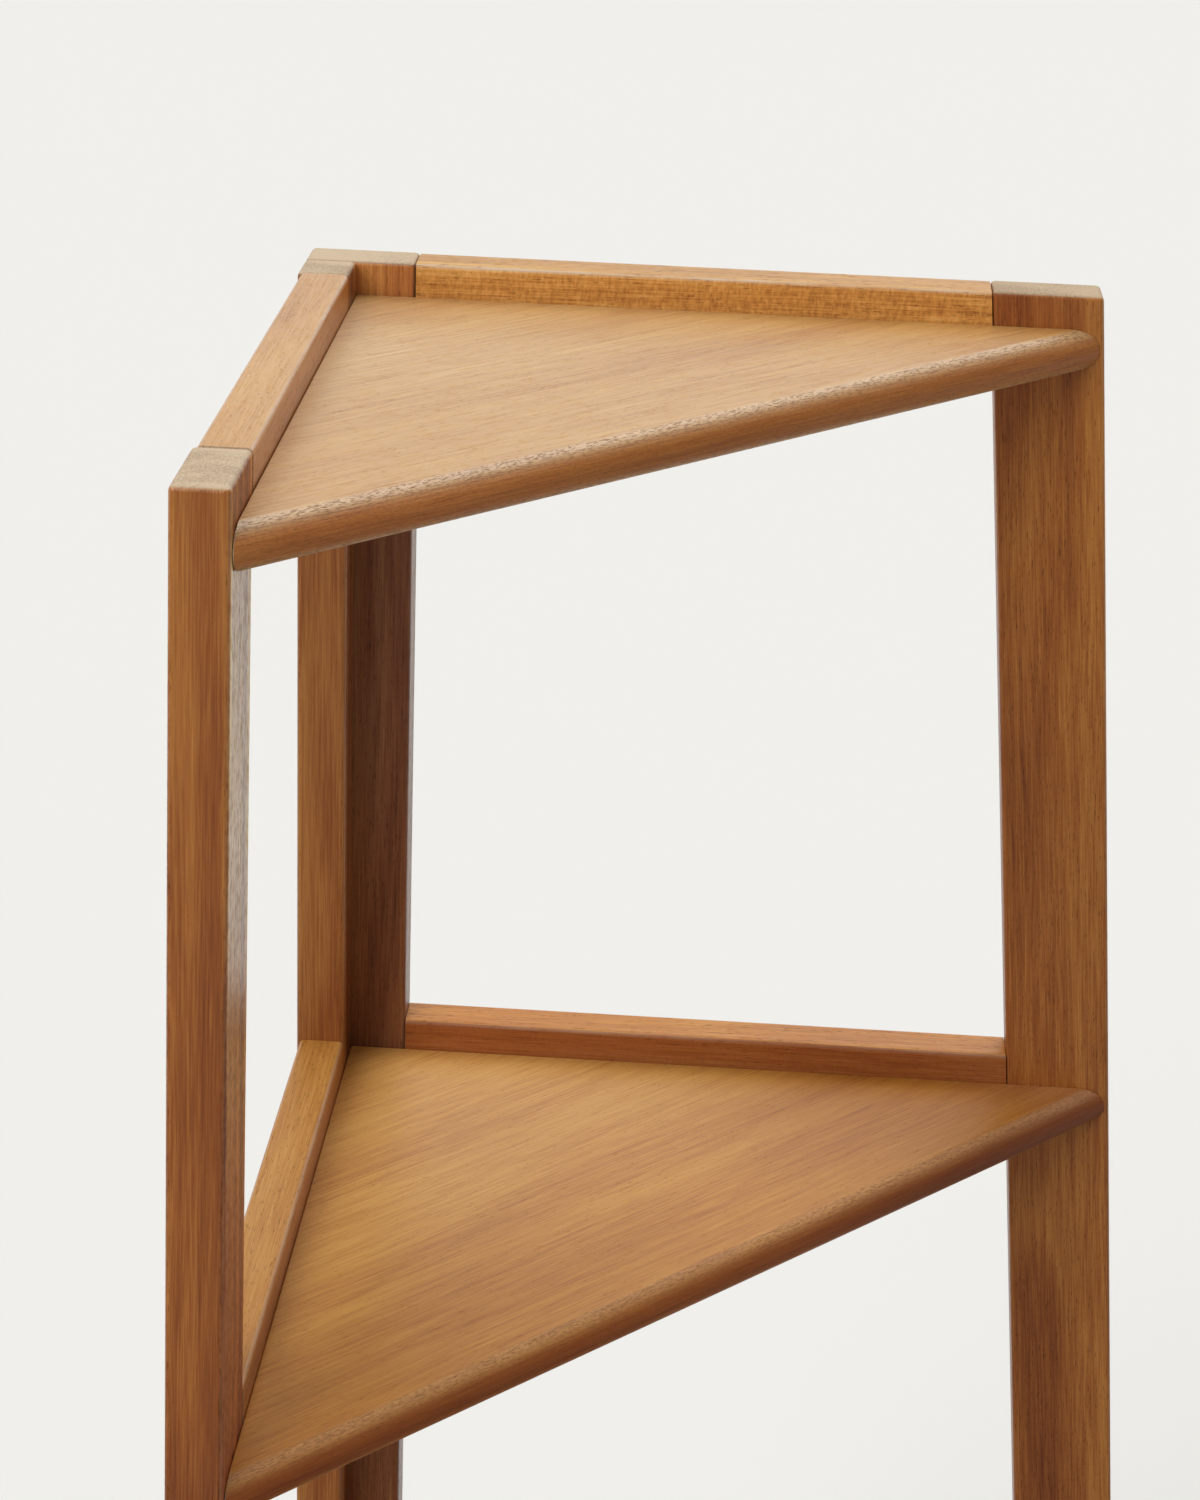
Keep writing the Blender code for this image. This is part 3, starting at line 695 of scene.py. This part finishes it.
# Finishes of the small parts, as a picture would show them
fineLooks = {
    "zincSteel": {"deep": (176, 178, 182), "pale": (206, 207, 208), "scuffed": (226, 226, 224),
                  "roughness": 0.24, "metallic": 1.0, "grit": 0.00004},
    "yellowZinc": {"deep": (176, 146, 86), "pale": (206, 180, 122), "scuffed": (206, 204, 198),
                   "roughness": 0.28, "metallic": 1.0, "grit": 0.00004},
    "brownNylon": {"deep": (52, 38, 30), "pale": (70, 52, 42), "scuffed": (104, 90, 78),
                   "roughness": 0.46, "metallic": 0.0, "grit": 0.00008},
}
finishes = {name: fineMaterial(name, look) for name, look in fineLooks.items()}


# Small parts are made once, standing along +Z, and each copy is then moved to its place
smallParts = {
    "weld": 1e-7,                         # metres
    "threadWeld": 0.000002,
    "cut": 1e-8,
    "sharpAngle": 35,                     # degrees
    "spareTurns": 3,                      # of a thread, cut off at its ends
    # One turn of a thread: the radius at each share of the pitch
    "threadTurn": (("core", 0.0), ("core", 0.12), ("crest", 0.50), ("crest", 0.62), ("core", 1.0)),
}


def outlineIn(bm, points):
    verts = [bm.verts.new((x, 0, z)) for x, z in points]
    return verts + [bm.edges.new(pair) for pair in zip(verts, verts[1:])]


def turnedBody(points, sides):
    bm = bmesh.new()
    bmesh.ops.spin(bm, geom=outlineIn(bm, points), angle=2 * pi, steps=sides, axis=(0, 0, 1),
                   cent=(0, 0, 0), use_merge=True)
    bmesh.ops.remove_doubles(bm, verts=bm.verts, dist=smallParts["weld"])
    bmesh.ops.recalc_face_normals(bm, faces=bm.faces)
    return bm


def threadedBody(thread, low, high):
    bm = bmesh.new()
    pitch, spare = thread["pitch"], smallParts["spareTurns"]
    turns = round((high - low) / pitch) + spare
    start = low - spare / 2 * pitch
    geometry = outlineIn(bm, [(thread[radius], share * pitch + start)
                              for radius, share in smallParts["threadTurn"]])
    bmesh.ops.spin(bm, geom=geometry, angle=2 * pi * turns, steps=thread["steps"] * turns,
                   axis=(0, 0, 1), cent=(0, 0, 0), dvec=(0, 0, pitch / thread["steps"]))
    bmesh.ops.remove_doubles(bm, verts=bm.verts, dist=smallParts["threadWeld"])
    for height, outwards in ((low, -1), (high, 1)):
        bmesh.ops.bisect_plane(bm, geom=bm.verts[:] + bm.edges[:] + bm.faces[:], plane_co=(0, 0, height),
                               plane_no=(0, 0, outwards), clear_outer=True, dist=smallParts["cut"])
        rim = [edge for edge in bm.edges if edge.is_boundary
               and all(abs(vert.co.z - height) < smallParts["weld"] for vert in edge.verts)]
        bmesh.ops.holes_fill(bm, edges=rim, sides=0)
    bmesh.ops.recalc_face_normals(bm, faces=bm.faces)
    return bm


def workObject(bm):
    mesh = bpy.data.meshes.new("work")
    bm.to_mesh(mesh)
    bm.free()
    made = bpy.data.objects.new("work", mesh)
    scene.collection.objects.link(made)
    return made


def joined(body, tool, operation):
    first, second = workObject(body), workObject(tool)
    boolean = first.modifiers.new("boolean", "BOOLEAN")
    boolean.operation, boolean.solver, boolean.object = operation, "EXACT", second
    result = bmesh.new()
    result.from_object(first, bpy.context.evaluated_depsgraph_get())
    for used in (first, second):
        mesh = used.data
        bpy.data.objects.remove(used)
        bpy.data.meshes.remove(mesh)
    return result


def placePart(nodeName, shape, outwards, finish):
    low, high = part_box(nodeName)
    centre = centreOf(nodeName)
    turn = Vector((0, 0, 1)).rotation_difference(Vector(outwards)).to_matrix().to_4x4()
    outerEnd = Vector([high[i] if outwards[i] > 0 else low[i] if outwards[i] < 0 else centre[i]
                       for i in range(3)])
    mesh = shape.copy()
    mesh.name = camelName(nodeName)
    mesh.transform(Matrix.Translation(outerEnd) @ turn)
    mesh.materials.append(finish)
    piece = bpy.data.objects.new(camelName(nodeName), mesh)
    scene.collection.objects.link(piece)
    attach(piece, "root")
    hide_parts(nodeName)


def finishedShape(name, bm):
    bmesh.ops.dissolve_degenerate(bm, dist=smallParts["weld"], edges=bm.edges)
    mesh = bpy.data.meshes.new(name)
    bm.to_mesh(mesh)
    bm.free()
    mesh.shade_smooth()
    mesh.set_sharp_from_angle(angle=radians(smallParts["sharpAngle"]))
    return mesh


# Connector bolt, in metres: wide flat head with a hexagon socket, its outer face at z = 0
bolt = {
    "headRadius": 0.0075, "headThickness": 0.004, "headEase": 0.0008, "headSides": 64,
    "edgeBreak": 0.0003, "rimDrop": 0.00006, "shoulderDrop": 0.0004,
    "shankRadius": 0.00285, "plainLength": 0.012, "length": 0.044, "threadOverlap": 0.0005,
    "socketFlats": 0.004, "socketDepth": 0.0025,
    "thread": {"pitch": 0.001, "crest": 0.0030, "core": 0.00245, "steps": 18},
}
headRadius, shankRadius, underHead = bolt["headRadius"], bolt["shankRadius"], -bolt["headThickness"]
rimRadius, plainEnd = headRadius - bolt["headEase"], underHead - bolt["plainLength"]
edgeBreak = bolt["edgeBreak"]
head = turnedBody([(0, 0), (rimRadius - edgeBreak, 0), (rimRadius, -bolt["rimDrop"]),
                   (headRadius - edgeBreak, -bolt["shoulderDrop"]), (headRadius, -bolt["headEase"]),
                   (headRadius, underHead + edgeBreak), (headRadius - edgeBreak, underHead),
                   (shankRadius, underHead), (shankRadius, plainEnd), (0, plainEnd)],
                  bolt["headSides"])
socket = bmesh.new()
socketRadius = bolt["socketFlats"] / 2 / cos(pi / 6)
bmesh.ops.create_cone(socket, cap_ends=True, segments=6, radius1=socketRadius, radius2=socketRadius,
                      depth=2 * bolt["socketDepth"])
head = joined(head, socket, "DIFFERENCE")
threadedEnd = threadedBody(bolt["thread"], -bolt["length"], plainEnd + bolt["threadOverlap"])
boltShape = finishedShape("boltShape", joined(head, threadedEnd, "UNION"))

# Threaded insert: coarse thread outside, plain bore, a driving slot across its outer end
insert = {
    "length": 0.018, "bore": 0.0033, "boreReach": 1.2, "sides": 48,
    "slotLength": 0.02, "slotWidth": 0.0016, "slotDepth": 0.0024,
    "thread": {"pitch": 0.0028, "crest": 0.005, "core": 0.0042, "steps": 24},
}
body = threadedBody(insert["thread"], -insert["length"], 0.0)
bore = bmesh.new()
bmesh.ops.create_cone(bore, cap_ends=True, segments=insert["sides"], radius1=insert["bore"],
                      radius2=insert["bore"], depth=2 * insert["boreReach"] * insert["length"])
body = joined(body, bore, "DIFFERENCE")
slot = bmesh.new()
bmesh.ops.create_cube(slot, size=1.0)
bmesh.ops.scale(slot, vec=(insert["slotLength"], insert["slotWidth"], 2 * insert["slotDepth"]),
                verts=slot.verts)
insertShape = finishedShape("insertShape", joined(body, slot, "DIFFERENCE"))

# Which way the outer ends of a level's bolts and inserts look
corners = {"right_back": (0, 1, 0), "right_front": (0, 1, 0), "corner": (0, 1, 0),
           "left_back": (-1, 0, 0), "left_front": (-1, 0, 0)}
for level in levels:
    for corner, outwards in corners.items():
        placePart(f"{level}_{corner}_bolt", boltShape, outwards, finishes["zincSteel"])
        placePart(f"{level}_{corner}_insert", insertShape, outwards, finishes["yellowZinc"])
print("bolts and inserts made")

# Floor glide, from its underside at z = 0: a rounded disc on a barbed pin
glide = {
    "radius": 0.011, "round": 0.0018, "thickness": 0.0037, "edgeBreak": 0.0004, "sides": 64,
    "height": 0.0177, "pin": 0.0025, "pinCore": 0.0021, "barbs": 4, "barbGap": 0.001, "barbLip": 0.0002,
}
outline = [(0, 0.0), (glide["radius"] - glide["round"], 0.0)]
for degrees in range(15, 91, 15):
    outline.append((glide["radius"] - glide["round"] * (1 - sin(radians(degrees))),
                    glide["round"] * (1 - cos(radians(degrees)))))
outline += [(glide["radius"], glide["thickness"] - glide["edgeBreak"]),
            (glide["radius"] - glide["edgeBreak"], glide["thickness"]),
            (glide["pinCore"], glide["thickness"])]
barbHeight = (glide["height"] - glide["thickness"] - 2 * glide["barbGap"]) / glide["barbs"]
for barb in range(glide["barbs"]):
    bottom = glide["thickness"] + glide["barbGap"] + barb * barbHeight
    outline += [(glide["pinCore"], bottom), (glide["pin"], bottom + glide["barbLip"]),
                (glide["pinCore"], bottom + barbHeight)]
outline += [(glide["pinCore"] - glide["edgeBreak"], glide["height"]), (0, glide["height"])]
glideShape = finishedShape("glideShape", turnedBody(outline, glide["sides"]))
glideShape.transform(Matrix.Rotation(pi, 4, "X"))
for corner in ("right_corner", "right_front", "left_corner", "left_front"):
    placePart(corner + "_glide", glideShape, (0, 0, -1), finishes["brownNylon"])
print("glides made")
